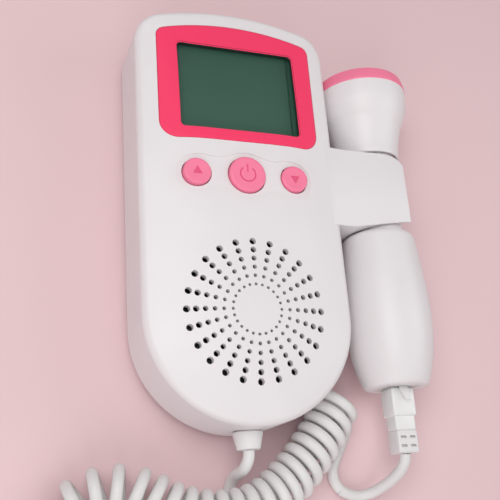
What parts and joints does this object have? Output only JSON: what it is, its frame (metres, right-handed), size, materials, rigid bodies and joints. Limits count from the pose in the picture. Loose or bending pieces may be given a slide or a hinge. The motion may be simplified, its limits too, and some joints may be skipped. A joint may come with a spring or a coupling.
{
  "type": "fetal doppler monitor",
  "caption": "Handheld heart-rate doppler unit with display, round speaker grille and push buttons, a side cradle holding its hand probe, and a curly cord between them.",
  "frame": {"origin": "on the flat back pad that the unit lies on, below the centre of the speaker grille", "axes": "+X to the right of the display, where the probe is docked; +Y along the unit towards the display end; +Z out of the face"},
  "size_m": [0.1447, 0.2185, 0.0367],
  "materials": {
    "shell_white": "fine satin moulded plastic, off-white",
    "cover_white": "fine satin moulded plastic, off-white",
    "bezel_pink": "hot pink moulded plastic, semi-gloss",
    "button_pink": "pink soft-touch plastic",
    "ring_pink": "pink moulded plastic",
    "window_clear": "clear acrylic",
    "display_green": "dark green display glass, switched off",
    "frame_grey": "plain moulded plastic",
    "board_green": "solder-masked circuit board",
    "keypad_rubber": "translucent silicone rubber",
    "speaker_steel": "dark pressed steel",
    "speaker_cone": "black paper cone",
    "magnet_grey": "ferrite magnet with plated yoke",
    "box_black": "black moulded plastic",
    "contact_metal": "nickel-plated spring steel",
    "cell_wrap": "plain wrapped dry cells",
    "screw_steel": "zinc-plated steel",
    "grommet_white": "flexible moulded strain relief",
    "cord_white": "off-white flexible cord sheath",
    "lens_grey": "pale acoustic window",
    "crystal_gold": "silvered ceramic crystals",
    "cup_dark": "filled backing resin",
    "plug_white": "moulded plug, off-white",
    "contact_gold": "gold-plated contacts"
  },
  "bodies": {
    "unit": {"front_shell": "shell_white", "probe_cradle": "shell_white", "rear_cover": "cover_white", "display_bezel": "bezel_pink", "display_window": "window_clear", "display_glass": "display_green", "display_holder": "frame_grey", "main_board": "board_green", "keypad_mat": "keypad_rubber", "speaker_frame": "speaker_steel", "speaker_cone": "speaker_cone", "speaker_magnet": "magnet_grey", "battery_box": "box_black", "battery_contacts": "contact_metal", "batteries": "cell_wrap", "case_screws": "screw_steel", "cord_grommet": "grommet_white", "unit_lead": "cord_white", "curly_cord": "cord_white", "probe_lead": "cord_white"},
    "up_button": {"up_button": "button_pink"},
    "power_button": {"power_button": "button_pink"},
    "down_button": {"down_button": "button_pink"},
    "battery_door": {"battery_door": "cover_white"},
    "probe": {"probe_front_shell": "shell_white", "probe_rear_shell": "cover_white", "probe_ring": "ring_pink", "probe_lens": "lens_grey", "transducer_crystals": "crystal_gold", "transducer_cup": "cup_dark", "probe_board": "board_green", "plug_socket": "frame_grey"},
    "plug": {"plug_body": "plug_white", "plug_contacts": "contact_gold", "plug_boot": "cord_white"}
  },
  "joints": [
    {"name": "up_button_press", "type": "slide", "parent": "unit", "child": "up_button", "axis": [0, 0, -1], "range_m": [0, 0.0008], "stiffness_N_per_m": 400},
    {"name": "power_button_press", "type": "slide", "parent": "unit", "child": "power_button", "axis": [0, 0, -1], "range_m": [0, 0.0008], "stiffness_N_per_m": 400},
    {"name": "down_button_press", "type": "slide", "parent": "unit", "child": "down_button", "axis": [0, 0, -1], "range_m": [0, 0.0008], "stiffness_N_per_m": 400},
    {"name": "battery_door_slide", "type": "slide", "parent": "unit", "child": "battery_door", "axis": [0, 1, 0], "range_m": [0, 0.012]},
    {"name": "probe_lift_out", "type": "slide", "parent": "unit", "child": "probe", "axis": [1, 0, 0], "range_m": [0, 0.022], "deforming": ["probe_lead"]},
    {"name": "plug_pull", "type": "slide", "parent": "probe", "child": "plug", "axis": [-0.0052, -1, 0], "range_m": [0, 0.012], "deforming": ["probe_lead"]}
  ]
}
